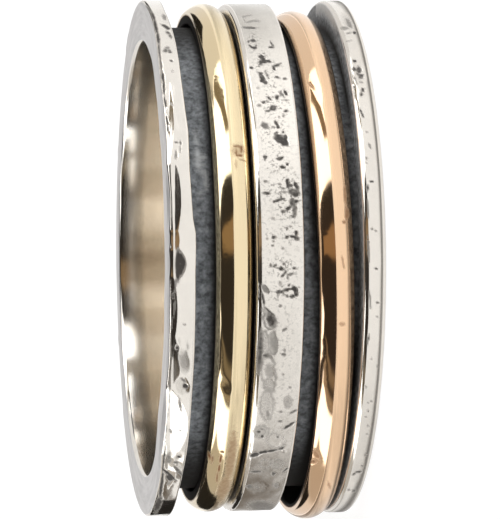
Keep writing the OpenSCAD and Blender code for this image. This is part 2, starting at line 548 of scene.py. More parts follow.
# Small dark pits of the lower rim
LOWER_RIM_PITS = chart(
    (354.5, 32.5, 1.7, 1.4, 0, 11, 0.75),
    (349, 33, 3, 1, -20, 4, 0.3),
    (349, 23, 6, 2, 60, 6, 0.35),
    (345, 28, 4, 2, 0, 4, 0.3),
    (349, 41, 3, 0.9, -10, 2, 0.2),
    (354.5, 61, 1.9, 1.5, 0, 12, 0.8),
    (354, 68.5, 2.3, 1.6, 90, 9, 0.6),
    (359, 69.5, 3.2, 2.6, 70, 9, 0.55),
    (361, 76, 2.6, 2.4, 0, 8, 0.5),
    (358, 74, 1.6, 1.5, 0, 5, 0.4),
    (355.5, 80, 6, 0.9, 70, 4, 0.3),
    (361, 82, 2.2, 1.2, 0, 4, 0.3),
    (363, 90, 2.1, 1.5, 110, 10, 0.7),
    (361.5, 94.5, 1.9, 1.5, 90, 8, 0.5),
    (354, 87, 1.4, 1.1, 90, 9, 0.7),
    (361.8, 113, 5, 1.1, 68, 7, 0.5),
    (367, 132.5, 1.1, 0.9, 0, 4, 0.3),
    (370, 146, 3, 1, 70, 4, 0.35),
    (366.5, 158.5, 1.2, 1, 0, 5, 0.4),
    (366.5, 162.5, 1, 1, 0, 3, 0.25),
    (371.5, 181.5, 1.8, 1.1, 0, 12, 0.85),
    (367.5, 188, 4, 1, 90, 7, 0.55),
    (368, 210, 9, 0.9, 90, 5, 0.4),
    (368.5, 250, 14, 0.8, 88, 4, 0.35),
    (370, 300, 8, 0.8, 85, 4, 0.35),
    (368, 340, 6, 1, 100, 5, 0.4),
    (372.5, 228.5, 1.4, 1, 0, 5, 0.4),
    (376, 231, 1.6, 1, 0, 3, 0.25),
    (376, 268.5, 1.4, 1.2, 0, 7, 0.55),
    (378, 302, 1.6, 0.9, -20, 6, 0.45),
    (377.5, 316.5, 1.1, 1, 0, 3, 0.25),
    (371.5, 358.5, 1.4, 0.8, 0, 4, 0.3),
    (377.5, 366.5, 1.4, 0.8, 0, 4, 0.3),
    (366, 387, 1.1, 1, 0, 4, 0.3),
    (371, 401.5, 1.1, 1, 0, 4, 0.35),
    (368, 403, 1, 1, 0, 4, 0.3),
    (368, 411, 1.1, 1, 0, 5, 0.4),
    (366, 417, 1, 1, 0, 4, 0.3),
    (368, 426, 1.1, 0.9, 0, 4, 0.25),
    (367, 434, 1.1, 0.9, 0, 4, 0.25),
    (366, 455, 1.1, 0.9, 0, 4, 0.25),
    (362.5, 466, 1.2, 1, 0, 4, 0.3),
    (354, 474, 2.2, 1, -40, 8, 0.6),
    (358.5, 472, 3.6, 0.9, -8, 7, 0.55),
    (354, 491, 2, 1.3, 0, 6, 0.45),
    (349, 490, 1.4, 1.2, 0, 4, 0.3),
)

# Shallow hollows of the lower rim
LOWER_RIM_HOLLOWS = chart(
    (358, 72, 10, 5, 75, 12, 0.04),
    (356, 92, 6, 3, 75, 14, 0),
    (362, 110, 9, 4, 70, 8, 0),
    (348, 22, 8, 4, 60, 10, 0.1),
    (370, 170, 10, 5, 85, 5, 0),
    (375, 260, 12, 5, 90, 4, 0),
    (372, 340, 12, 5, 95, 2, 0),
    (366, 420, 12, 5, 100, 2, 0),
    (358, 470, 9, 5, 110, 6, 0.03),
)

# Where the channel's blackening is worn: nothing is deep, and dark says how worn it is
CHANNEL_WEAR = chart(
    (184, 66, 8, 5, 80, 0, 0.4),
    (191, 88, 14, 7, 78, 0, 0.35),
    (195, 104, 6, 6, 0, 0, 0.5),
    (197, 138, 14, 8, 84, 0, 0.8),
    (199, 160, 20, 9, 86, 0, 0.86),
    (205, 180, 16, 7, 86, 0, 0.86),
    (201, 196, 10, 7, 60, 0, 0.75),
    (205, 222, 14, 6, 80, 0, 0.5),
    (204, 245, 10, 6, 85, 0, 0.4),
    (205, 285, 24, 6, 90, 0, 0.22),
    (199, 380, 20, 6, 92, 0, 0.15),
    (197, 415, 14, 5, 95, 0, 0.22),
    (288, 60, 24, 7, 76, 0, 0.22),
    (303, 130, 22, 5, 85, 0, 0.3),
    (308, 220, 24, 6, 88, 0, 0.15),
    (309, 300, 24, 6, 90, 0, 0.15),
    (305, 398, 14, 8, 95, 0, 0.5),
    (302, 392, 8, 1.2, 45, 0, 0.5),
    (311, 386, 8, 1.2, -50, 0, 0.4),
    (304, 425, 14, 6, 96, 0, 0.2),
    (346, 75, 14, 3.5, 80, 0, 0.15),
    (352, 150, 30, 5, 87, 0, 0.55),
    (350, 162, 3, 1.5, 45, 0, 0.9),
    (355.5, 160, 2, 1.2, 0, 0, 0.9),
    (355, 195, 20, 4.5, 88, 0, 0.35),
)

# Brown stains and dull patches of the yellow gold band, with painted shade on its lower flank in the
# last two rows, and of the rose gold one
YELLOW_STAINS_AND_SHADE = chart(
    (237, 146, 3.5, 1.1, 0, 4, 0.5),
    (241.5, 149, 3.5, 1.2, 90, 4, 0.5),
    (236.5, 152, 3, 1.1, 90, 4, 0.5),
    (239, 155.5, 3.6, 1.2, 0, 4, 0.55),
    (242, 160, 4, 1, 20, 2, 0.3),
    (236, 164, 4, 1, 90, 2, 0.2),
    (238, 150, 7, 6, 0, 6, 0.16),
    (222, 452, 1.8, 1.2, 0, 4, 0.7),
    (220.5, 459, 4, 1.3, 100, 6, 0.6),
    (219, 469, 4, 1.2, 100, 6, 0.6),
    (217, 477, 5, 1.1, 95, 6, 0.45),
    (209, 456, 5, 1.5, 80, 10, 0.5),
    (212, 460, 4, 1.2, 100, 10, 0.45),
    # Painted shade on the lower flank
    (231, 458, 24, 4.5, 98, 0, 0.3),
    (224, 488, 13, 6, 108, 0, 0.3),
)

ROSE_STAINS = chart(
    (311, 86, 4, 1.1, 50, 6, 0.35),
    (347, 214, 6, 2, 90, 4, 0.35),
    (344, 222, 2, 1.6, 0, 3, 0.35),
    (345, 195, 9, 1.3, 88, 3, 0.3),
    (343, 262, 7, 1, 80, 3, 0.22),
    (342, 324, 3, 2, 0, 2, 0.2),
    (316, 455, 5, 2.5, 60, 8, 0.35),
    (313, 462, 4, 2, 0, 8, 0.35),
    (329, 485, 4, 1.2, 70, 4, 0.25),
)

# Hollows that bend the reflections on the two gold bands
YELLOW_HOLLOWS = chart(
    (219, 85, 14, 4, 80, 16, 0),
    (208, 60, 16, 5, 76, 14, 0),
    (227, 200, 16, 4, 88, 12, 0),
    (222, 260, 16, 4, 90, 12, 0),
    (226, 300, 18, 4, 92, 10, 0),
    (219, 355, 10, 4, 95, 8, 0),
    (225, 385, 7, 4, 60, 10, 0),
    (214, 468, 12, 6, 95, 20, 0),
)

ROSE_HOLLOWS = chart(
    (316, 88, 12, 4, 70, 16, 0),
    (325, 215, 16, 4, 88, 12, 0),
    (327, 275, 14, 4, 90, 12, 0),
    (322, 350, 10, 4, 95, 14, 0),
    (324, 370, 12, 4, 92, 12, 0),
    (315, 458, 8, 5, 60, 16, 0),
)

# Slightly hollow bands of the bore, each along its whole width, most of them brown with painted
# reflection
BORE_BANDS = chart(
    (250, 112, 300, 18, 0, 14, 0),
    (250, 184, 300, 15, 0, 8, 0.3),
    (250, 262, 300, 25, 0, 12, 0.34),
    (250, 322, 300, 13, 0, 6, 0.26),
    (250, 385, 300, 15, 0, 8, 0.12),
    (250, 430, 300, 45, 0, 16, 0),
)

# How far the upper rim's edge over the channel and its end face are beaten back, by the turn from the
# front towards +X in degrees, in millimetres
RimEdge = namedtuple("RimEdge", "turn channel_side end_side")
RIM_EDGE = chart(
    (-180, 0.10, 0.0),
    (-150, 0.05, 0.02),
    (-120, 0.12, 0.05),
    (-90, 0.16, 0.12),
    (-70, 0.16, 0.14),
    (-60, 0.155, 0.13),
    (-52, 0.11, 0.09),
    (-42, 0.055, 0.05),
    (-30, 0.05, 0.09),
    (-20, 0.03, 0.13),
    (-10, 0.03, 0.12),
    (-3, 0.03, 0.13),
    (2, 0.0, 0.13),
    (5, 0.0, 0.14),
    (8, 0.09, 0.14),
    (12, 0.12, 0.15),
    (18, 0.155, 0.14),
    (23, 0.14, 0.15),
    (27, 0.12, 0.15),
    (32, 0.175, 0.13),
    (40, 0.22, 0.14),
    (46, 0.22, 0.15),
    (53, 0.24, 0.17),
    (60, 0.29, 0.19),
    (68, 0.37, 0.16),
    (90, 0.33, 0.12),
    (120, 0.16, 0.06),
    (150, 0.08, 0.03),
    (180, 0.10, 0.0),
    of=RimEdge)


# Modelling

def object_mode():
    """Leaves edit mode and deselects everything."""
    if bpy.context.mode != "OBJECT":
        bpy.ops.object.mode_set(mode="OBJECT")
    bpy.ops.object.select_all(action="DESELECT")


def edit(piece):
    """Opens a piece in edit mode, with nothing selected."""
    object_mode()
    bpy.context.view_layer.objects.active = piece
    piece.select_set(True)
    bpy.ops.object.mode_set(mode="EDIT")
    bpy.ops.mesh.select_mode(type="VERT")
    bpy.ops.mesh.select_all(action="DESELECT")


def pick(piece, wanted, of="verts"):
    """Selects the corners, edges or faces whose every corner passes the test wanted(x, z)."""
    mesh = bmesh.from_edit_mesh(piece.data)
    for part in (mesh.verts, mesh.edges, mesh.faces):
        for one in part:
            one.select_set(False)
    for one in getattr(mesh, of):
        corners = [one] if of == "verts" else one.verts
        if all(wanted(v.co.x, v.co.z) for v in corners):
            one.select_set(True)
    bmesh.update_edit_mesh(piece.data)


def near(value, target):
    """Whether lengths are the target, to two thousandths of a millimetre."""
    return abs(value - target) < SAME


def between(value, low, high):
    """Whether lengths lie from low to high, to a hundredth of a millimetre."""
    return (value > low - CLOSE) & (value < high + CLOSE)


def section(name, inner, outer, low, high):
    """A flat section in the XZ plane, open in edit mode."""
    object_mode()
    bpy.ops.mesh.primitive_plane_add(
        size=1, location=((inner + outer) / 2, 0, (low + high) / 2), rotation=(math.pi / 2, 0, 0))
    piece = bpy.context.object
    piece.name = name
    piece.scale = (outer - inner, high - low, 1)
    bpy.ops.object.transform_apply(location=True, rotation=True, scale=True)
    edit(piece)
    return piece


def round_corner(piece, x, z, radius, segments):
    """Rounds the section's corner at x, z."""
    bpy.ops.mesh.select_mode(type="VERT")
    pick(piece, lambda vx, vz: near(vx, x) and near(vz, z))
    bpy.ops.mesh.bevel(offset=radius, offset_type="OFFSET", segments=segments, affect="VERTICES")


def open_section(piece):
    """Leaves the section's outline alone."""
    bpy.ops.mesh.select_all(action="SELECT")
    bpy.ops.mesh.delete(type="ONLY_FACE")


def divide(piece, wanted, cuts):
    """Cuts the section's edges that pass the test."""
    bpy.ops.mesh.select_mode(type="EDGE")
    pick(piece, wanted, of="edges")
    bpy.ops.mesh.subdivide(number_cuts=cuts)


def turn(piece, steps):
    """Turns the section about the Z axis into a closed band."""
    object_mode()
    piece.select_set(True)
    bpy.context.view_layer.objects.active = piece
    screw = piece.modifiers.new("turn", "SCREW")
    screw.axis = "Z"
    screw.steps = screw.render_steps = steps
    screw.use_merge_vertices = True
    screw.merge_threshold = SEAM
    screw.use_smooth_shade = True
    bpy.ops.object.modifier_apply(modifier="turn")
    edit(piece)
    bpy.ops.mesh.select_all(action="SELECT")
    bpy.ops.mesh.remove_doubles(threshold=WELD)
    bpy.ops.mesh.normals_make_consistent(inside=False)
    object_mode()


# A push that is smaller than this is left out
LEAST_PUSH = 0.01 * UM


def push(piece, amounts, direction):
    """Moves each point by its own amount with a Displace modifier: inwards, up or down."""
    most = float(amounts.max())
    if most < LEAST_PUSH:
        return
    group = piece.vertex_groups.new(name="pushed")
    for index in np.flatnonzero(amounts > 0):
        group.add([int(index)], float(amounts[index]) / most, "REPLACE")
    object_mode()
    bpy.context.view_layer.objects.active = piece
    displace = piece.modifiers.new("push", "DISPLACE")
    displace.direction = "NORMAL" if direction == "IN" else "Z"
    displace.mid_level = 0
    displace.strength = most if direction == "UP" else -most
    displace.vertex_group = group.name
    bpy.ops.object.modifier_apply(modifier="push")
    piece.vertex_groups.clear()


def seat(piece, node, body):
    """Gives a piece its place in the frame."""
    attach(piece, body)
    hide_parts(node)


# Marks

def smooth(value, low, high):
    """0 below low, 1 above high, and a smooth rise between them."""
    share = np.clip((value - low) / (high - low), 0, 1)
    return share * share * (3 - 2 * share)


# How far each seed moves the noise, in bumps
NOISE_SHIFT = (7.3, 3.1, 5.7)


def bumps(spots, size, seed):
    """Soft noise from 0 to 1 over the given points, with bumps of the given size."""
    shift = Vector([seed * step for step in NOISE_SHIFT])
    return np.array([0.5 + 0.5 * noise.noise(Vector(spot) / size + shift) for spot in spots])


def camera_axes(studio):
    """The camera's place and its right, up and back directions, as the photograph needs them."""
    middle = Vector((0, 0, RING_W / 2))
    side = Vector((1, 0, 0))
    rise = Vector((0, math.sin(studio.elevation), math.cos(studio.elevation)))
    spot = middle + side.cross(rise) * studio.distance
    cos, sin = math.cos(studio.roll), math.sin(studio.roll)
    right, up = side * sin - rise * cos, side * cos + rise * sin
    off_right = (RING_AT[0] - PHOTO_W / 2) / studio.focal_px * studio.distance
    off_down = (RING_AT[1] - PHOTO_H / 2) / studio.focal_px * studio.distance
    aim = middle - right * off_right + up * off_down
    back = (spot - aim).normalized()
    right = up.cross(back).normalized()
    return spot, right, back.cross(right), back


def in_photo(spots):
    """Where points stand in the photograph, in its pixels."""
    studio = bpy.context.scene.ring_studio
    spot, right, up, back = (np.array(axis) for axis in camera_axes(studio))
    away = spots - spot
    ahead = -(away @ back)
    return (
        PHOTO_W / 2 + studio.focal_px * (away @ right) / ahead,
        PHOTO_H / 2 - studio.focal_px * (away @ up) / ahead,
    )


# How wide the bumps of soft noise are on each surface and in ragged outlines, and the noise's seed
RIM_BUMPS = (0.7 * MM, 1)
BORE_BUMPS = (1.5 * MM, 2)
OUTLINE_BUMPS = (0.12 * MM, 3)
END_BUMPS = (1.1 * MM, 4)
BAND_BUMPS = (0.45 * MM, 5)
GOLD_BUMPS = (0.9 * MM, 6)
# Marks fade out near the two sides, where the cosine of the turn falls from this to nothing
FADE = 0.1
# How far round a mark its points are looked for, in its longer half-length
REACH = 1.7
# The power that turns darkness as the eye sees it into a share of light
GAMMA = 2.2


class Skin:
    """A piece's points as arrays, with what is worked into them."""

    def __init__(self, piece, centre_x=0.0):
        self.piece = piece
        spots = np.empty(len(piece.data.vertices) * 3)
        piece.data.vertices.foreach_get("co", spots)
        self.spots = spots.reshape(-1, 3)
        x, y, self.z = self.spots[:, 0] - centre_x, self.spots[:, 1], self.spots[:, 2]
        self.turn = np.degrees(np.arctan2(x, -y))
        self.r = np.hypot(x, y)
        # The photograph shows the near half of the outside and the far half of the bore, and their
        # marks are repeated on the other half, half a turn away
        bore = self.r < BORE_SKIN
        side = np.where((y > 0) != bore, -1, 1)
        self.px, self.py = in_photo(np.stack([centre_x + side * x, side * y, self.z], axis=1))
        self.fade = smooth(np.abs(np.cos(np.radians(self.turn))), 0.0, FADE)
        self.rag = 2 * bumps(self.spots, *OUTLINE_BUMPS) - 1
        self.depth = np.zeros(len(self.spots))
        self.dark = np.zeros(len(self.spots))

    def darken(self, amount):
        """Darkens the points that are lighter than the amount."""
        self.dark = np.maximum(self.dark, amount)

    def ripple(self, zone, deep, noise_of):
        """Presses soft bumps into a zone."""
        self.depth += zone * deep * bumps(self.spots, *noise_of)

    def near_mark(self, mark, zone):
        """The zone's points near a mark, and where they lie along and across it, in its half-lengths."""
        reach = REACH * max(mark.long, mark.wide)
        points = np.flatnonzero(
            zone & (np.abs(self.px - mark.x) < reach) & (np.abs(self.py - mark.y) < reach))
        right, down = self.px[points] - mark.x, self.py[points] - mark.y
        cos, sin = math.cos(math.radians(mark.turn)), math.sin(math.radians(mark.turn))
        return points, (right * cos + down * sin) / mark.long, (down * cos - right * sin) / mark.wide

    def stamp(self, marks, zone, soft, ragged):
        """Presses marks into a zone, with a soft or a steep edge and a ragged outline."""
        for mark in marks:
            points, along, across = self.near_mark(mark, zone)
            away = np.hypot(along, across) + ragged * self.rag[points]
            share = smooth(1 + soft / 2 - away, 0, soft) * self.fade[points]
            self.depth[points] += share * mark.deep * UM
            self.dark[points] = np.maximum(self.dark[points], share * mark.dark)

    def outline(self, marks, zone, thick, ragged):
        """Darkens the outlines of marks."""
        for mark in marks:
            points, along, across = self.near_mark(mark, zone)
            away = np.hypot(along, across) + ragged * self.rag[points] - 1
            share = np.exp(-(away / thick) ** 2)
            self.dark[points] = np.maximum(self.dark[points], share * mark.dark)

    def cut(self, facets, zone):
        """Cuts facets that fall away towards the picture's left."""
        deepest = np.zeros(len(self.spots))
        for facet in facets:
            width = np.maximum(1 - ((self.py - facet.y) / facet.long) ** 2, 0)
            fall = np.clip((facet.x - self.px) / facet.wide - 1 + width, 0, width)
            deepest = np.maximum(deepest, zone * fall * facet.deep * UM)
        self.depth += deepest * self.fade

    def store(self, name):
        """Stores the darkness in the mesh for the material, and starts a new one."""
        layer = self.piece.data.attributes.new(name, "FLOAT", "POINT")
        # Darkness is charted as the eye sees it, and the shader mixes light
        share = 1 - (1 - np.clip(self.dark, 0, 1)) ** GAMMA
        layer.data.foreach_set("value", share.astype(np.float32))
        self.dark[:] = 0

    def press(self):
        """Presses the depths in."""
        push(self.piece, np.maximum(self.depth, 0), "IN")


# Shaders

COLOUR, VALUE = "NodeSocketColor", "NodeSocketFloat"
# Where a Mix node has its two colours, and its result
MIX_LOW, MIX_HIGH, MIX_RESULT = 6, 7, 2
# The lowest and highest noise, and what they become
STREAK_RANGE = (0.35, 0.65, 0.0, 1.0)
GRAIN_RANGE = (0.3, 0.6, 0.9, 1.25)
CLOUD_RANGE = (0.35, 0.7, 0.0, 1.0)
SPECK_RANGE = (0.52, 0.66, 0.0, 0.72)
CARD_EDGE_RANGE = (0.3, 0.7, -0.3, 0.3)
# How metallic the dark film is: oxide, stains and painted shade
OXIDE_METAL = 0.1


def feed(tree, socket, value):
    """Links a socket, or sets its value."""
    if isinstance(value, bpy.types.NodeSocket):
        tree.links.new(value, socket)
    else:
        socket.default_value = value


def math_node(tree, operation, *inputs):
    """The result of a Math node whose inputs are sockets or numbers."""
    node = tree.nodes.new("ShaderNodeMath")
    node.operation = operation
    for socket, value in zip(node.inputs, inputs):
        feed(tree, socket, value)
    return node.outputs[0]


def mix_colour(tree, share, low, high):
    """A colour between two others."""
    node = tree.nodes.new("ShaderNodeMix")
    node.data_type = "RGBA"
    feed(tree, node.inputs["Factor"], share)
    feed(tree, node.inputs[MIX_LOW], low)
    feed(tree, node.inputs[MIX_HIGH], high)
    return node.outputs[MIX_RESULT]


def map_range(tree, value, *limits):
    """A value taken from one range to another, and kept inside it."""
    node = tree.nodes.new("ShaderNodeMapRange")
    feed(tree, node.inputs["Value"], value)
    for name, limit in zip(("From Min", "From Max", "To Min", "To Max"), limits):
        feed(tree, node.inputs[name], limit)
    return node.outputs["Result"]


def noise_node(tree, vector, scale, detail, rough):
    """Noise from 0 to 1."""
    node = tree.nodes.new("ShaderNodeTexNoise")
    feed(tree, node.inputs["Vector"], vector)
    feed(tree, node.inputs["Scale"], scale)
    node.inputs["Detail"].default_value = detail
    node.inputs["Roughness"].default_value = rough
    return node.outputs["Fac"]


def object_place(tree):
    """The Object coordinates, in millimetres."""
    scale = tree.nodes.new("ShaderNodeVectorMath")
    scale.operation = "SCALE"
    tree.links.new(tree.nodes.new("ShaderNodeTexCoord").outputs["Object"], scale.inputs[0])
    scale.inputs["Scale"].default_value = 1 / MM
    return scale.outputs[0]


def attribute(tree, name):
    """A value stored in the mesh."""
    node = tree.nodes.new("ShaderNodeAttribute")
    node.attribute_name = name
    return node.outputs["Fac"]


def new_group(name, inputs, outputs):
    """An empty shader node group with named sockets, and its two ends."""
    group = bpy.data.node_groups.new(name, "ShaderNodeTree")
    for label, kind, value in inputs:
        socket = group.interface.new_socket(label, in_out="INPUT", socket_type=kind)
        socket.default_value = value
    for label, kind in outputs:
        group.interface.new_socket(label, in_out="OUTPUT", socket_type=kind)
    return group, group.nodes.new("NodeGroupInput").outputs, group.nodes.new("NodeGroupOutput").inputs


def scratches_group():
    """Fine scratches that run round the ring."""
    group, start, end = new_group(
        "turned_scratches",
        [("Along", VALUE, 0.3), ("Across", VALUE, 12.0)],
        [("Height", VALUE), ("Mask", VALUE)])
    split = group.nodes.new("ShaderNodeSeparateXYZ")
    group.links.new(object_place(group), split.inputs[0])
    x, y, z = split.outputs
    square = math_node(group, "MULTIPLY_ADD", y, y, math_node(group, "MULTIPLY", x, x))
    level = math_node(group, "ADD", math_node(group, "SQRT", square), z)
    join = group.nodes.new("ShaderNodeCombineXYZ")
    group.links.new(math_node(group, "MULTIPLY", x, start["Along"]), join.inputs[0])
    group.links.new(math_node(group, "MULTIPLY", y, start["Along"]), join.inputs[1])
    group.links.new(math_node(group, "MULTIPLY", level, start["Across"]), join.inputs[2])
    streaks = noise_node(group, join.outputs[0], scale=1.0, detail=3.0, rough=0.6)
    group.links.new(streaks, end["Height"])
    group.links.new(map_range(group, streaks, *STREAK_RANGE), end["Mask"])
    return group


def blackening_group():
    """Metal that a dark film of oxide, stains and painted shade covers where an amount says so, with a
    broken edge.
    """
    group, start, end = new_group(
        "blackening",
        [("Metal", COLOUR, (0.8, 0.8, 0.8, 1)), ("Oxide", COLOUR, (0.05, 0.05, 0.05, 1)),
         ("Amount", VALUE, 0.0), ("Metal Roughness", VALUE, 0.2), ("Oxide Roughness", VALUE, 0.6),
         ("Grain", VALUE, 14.0)],
        [("Color", COLOUR), ("Roughness", VALUE), ("Metallic", VALUE)])
    grain = noise_node(group, object_place(group), start["Grain"], detail=3.0, rough=0.6)
    broken = math_node(group, "MULTIPLY", start["Amount"], map_range(group, grain, *GRAIN_RANGE))
    mask = math_node(group, "MINIMUM", broken, 1.0)
    group.links.new(mix_colour(group, mask, start["Metal"], start["Oxide"]), end["Color"])
    group.links.new(map_range(group, mask, 0.0, 1.0, 1.0, OXIDE_METAL), end["Metallic"])
    rough = map_range(group, mask, 0.0, 1.0, start["Metal Roughness"], start["Oxide Roughness"])
    group.links.new(rough, end["Roughness"])
    return group


def clouds_group():
    """A colour with soft patches of a second one."""
    group, start, end = new_group(
        "clouds",
        [("Base", COLOUR, (0.8, 0.8, 0.8, 1)), ("Tint", COLOUR, (0.6, 0.6, 0.6, 1)),
         ("Scale", VALUE, 1.0), ("Amount", VALUE, 0.5)],
        [("Color", COLOUR)])
    patches = noise_node(group, object_place(group), start["Scale"], detail=4.0, rough=0.6)
    mask = math_node(group, "MULTIPLY", map_range(group, patches, *CLOUD_RANGE), start["Amount"])
    group.links.new(mix_colour(group, mask, start["Base"], start["Tint"]), end["Color"])
    return group


def place_group(tree, name, **values):
    """Places a node group in a material with its own values, and gives its outputs."""
    node = tree.nodes.new("ShaderNodeGroup")
    node.node_tree = bpy.data.node_groups[name]
    for label, value in values.items():
        feed(tree, node.inputs[label.replace("_", " ")], value)
    return node.outputs


def new_material(name):
    """A material, its nodes and its Principled shader."""
    material = bpy.data.materials.new(name)
    material.use_nodes = True
    tree = material.node_tree
    shader = tree.nodes["Principled BSDF"]
    shader.inputs["Metallic"].default_value = 1.0
    return material, tree, shader


def bump(tree, shader, height, distance):
    """Feeds a height to the shader's normal."""
    node = tree.nodes.new("ShaderNodeBump")
    node.inputs["Distance"].default_value = distance
    tree.links.new(height, node.inputs["Height"])
    tree.links.new(node.outputs["Normal"], shader.inputs["Normal"])


# How a finish is scratched: how fast its scratches change round the ring and across it, and their depth
Scratches = namedtuple("Scratches", "along across deep")
POLISHED = Scratches(0.35, 16.0, 0.4 * UM)
BRUSHED = Scratches(0.6, 5.0, 3 * UM)
GOLD_POLISHED = Scratches(0.5, 14.0, 0.25 * UM)
# Oxide and stains are too dull to shine at a low angle
DULL_SPECULAR = 0.12
# How much a mask is raised, so that the oxide in the channel and the painted shade on the gold's walls
# are whole where the mask is full
CHANNEL_SPREAD, WALL_SPREAD = 1.35, 1.3
# How deep the blackened channel's grain is
CHANNEL_GRAIN = 10 * UM


def scratch(tree, shader, finish):
    """Scratches a material, and gives the mask of its scratches."""
    scratches = place_group(tree, "turned_scratches", Along=finish.along, Across=finish.across)
    bump(tree, shader, scratches["Height"], finish.deep)
    return scratches["Mask"]


def clouded(tree, low, high, scale, amount):
    """A colour with soft patches of another, from the clouds group."""
    return place_group(tree, "clouds", Base=low, Tint=high, Scale=scale, Amount=amount)["Color"]


def paint(colour, share=1.0):
    """A colour, made darker or lighter by a share of it, with full alpha."""
    return (*(c * share for c in colour), 1.0)


def blacken(tree, shader, metal, oxide, amount, metal_rough, oxide_rough, grain):
    """Feeds the shader's colour, roughness and metal from the blackening group."""
    black = place_group(
        tree, "blackening", Metal=metal, Oxide=oxide, Amount=amount,
        Metal_Roughness=metal_rough, Oxide_Roughness=oxide_rough, Grain=grain)
    tree.links.new(black["Color"], shader.inputs["Base Color"])
    tree.links.new(black["Roughness"], shader.inputs["Roughness"])
    tree.links.new(black["Metallic"], shader.inputs["Metallic"])


def polished_silver(name, colours, rough):
    """Hammered silver, black in its pits and where the mesh paints shade and dark reflections, and
    finely specked where it says so.
    """
    material, tree, shader = new_material(name)
    silver = clouded(
        tree, paint(colours.silver), paint(colours.silver, share=0.86), scale=1.6, amount=0.35)
    fine = noise_node(tree, object_place(tree), scale=8.0, detail=2.0, rough=0.7)
    specks = math_node(
        tree, "MULTIPLY", attribute(tree, "specks"), map_range(tree, fine, *SPECK_RANGE))
    specked = mix_colour(tree, specks, silver, paint(colours.pit_dirt_and_shade))
    blacken(
        tree, shader, specked, paint(colours.pit_dirt_and_shade), attribute(tree, "black"),
        metal_rough=rough, oxide_rough=0.55, grain=9.0)
    scratch(tree, shader, POLISHED)
    return material


def bore_silver(colours):
    """The polished bore, in a lighter copy of the silver as painted light, with painted brown reflection
    bands.
    """
    material, tree, shader = new_material("bore_silver")
    silver = clouded(
        tree, paint(colours.bore), paint(colours.bore, share=0.93), scale=1.2, amount=0.6)
    banded = mix_colour(tree, attribute(tree, "tarnish"), silver, paint(colours.tarnish))
    tree.links.new(banded, shader.inputs["Base Color"])
    shader.inputs["Roughness"].default_value = 0.14
    scratch(tree, shader, POLISHED)
    return material


def satin_silver(colours):
    """Brushed end faces, black in the crease with painted dark reflection."""
    material, tree, shader = new_material("satin_silver")
    streaks = scratch(tree, shader, BRUSHED)
    streaked = mix_colour(tree, streaks, paint(colours.satin, share=0.84), paint(colours.satin))
    blacken(
        tree, shader, streaked, paint(colours.pit_dirt_and_shade), attribute(tree, "black"),
        metal_rough=0.5, oxide_rough=0.6, grain=9.0)
    return material


def blackened_channel(colours):
    """Mottled black oxide, worn in patches, and deep black where the mesh paints shade beside the bands
    and towards the ring's ends.
    """
    material, tree, shader = new_material("blackened_channel")
    mottled = clouded(
        tree, paint(colours.oxide, share=0.7), paint(colours.oxide, share=2.4), scale=4.5, amount=0.9)
    # Painted shade turns the oxide deep black beside the bands and at the ring's ends
    oxide = mix_colour(tree, attribute(tree, "covered"), mottled, paint(colours.pit_dirt_and_shade, share=0.3))
    amount = math_node(tree, "MULTIPLY", attribute(tree, "oxide"), CHANNEL_SPREAD)
    blacken(
        tree, shader, paint(colours.worn_oxide), oxide, amount,
        metal_rough=0.4, oxide_rough=0.75, grain=11.0)
    shader.inputs["Specular IOR Level"].default_value = DULL_SPECULAR
    grain = noise_node(tree, object_place(tree), scale=9.0, detail=4.0, rough=0.65)
    bump(tree, shader, grain, CHANNEL_GRAIN)
    return material


def polished_gold(name, colour, colours):
    """Polished gold with brown stains, and painted shade on its side walls."""
    material, tree, shader = new_material(name)
    covered = attribute(tree, "covered")
    # The dark film is brown where stained, and deep black painted shade on the side walls
    stain_and_shade_film = mix_colour(tree, covered, paint(colours.stain), paint(colours.pit_dirt_and_shade, share=0.3))
    walls = math_node(tree, "MULTIPLY", covered, WALL_SPREAD)
    amount = math_node(tree, "MAXIMUM", walls, attribute(tree, "stained"))
    blacken(tree, shader, paint(colour), stain_and_shade_film, amount, metal_rough=0.09, oxide_rough=0.7, grain=7.0)
    shader.inputs["Specular IOR Level"].default_value = DULL_SPECULAR
    scratch(tree, shader, GOLD_POLISHED)
    return material


# Pieces

# How many segments each rounding has, and how many cuts each straight line of an outline
RIM_SEGMENTS, BORE_SEGMENTS, SMALL_SEGMENTS = 6, 5, 2
UPPER_RIM_CUTS, LOWER_RIM_CUTS, SLEEVE_CUTS = 19, 9, 21
OUTER_END_CUTS, INNER_END_CUTS = 9, 1
SILVER_CUTS, GOLD_WALL_CUTS, CROWN_STEPS = 42, 8, 36


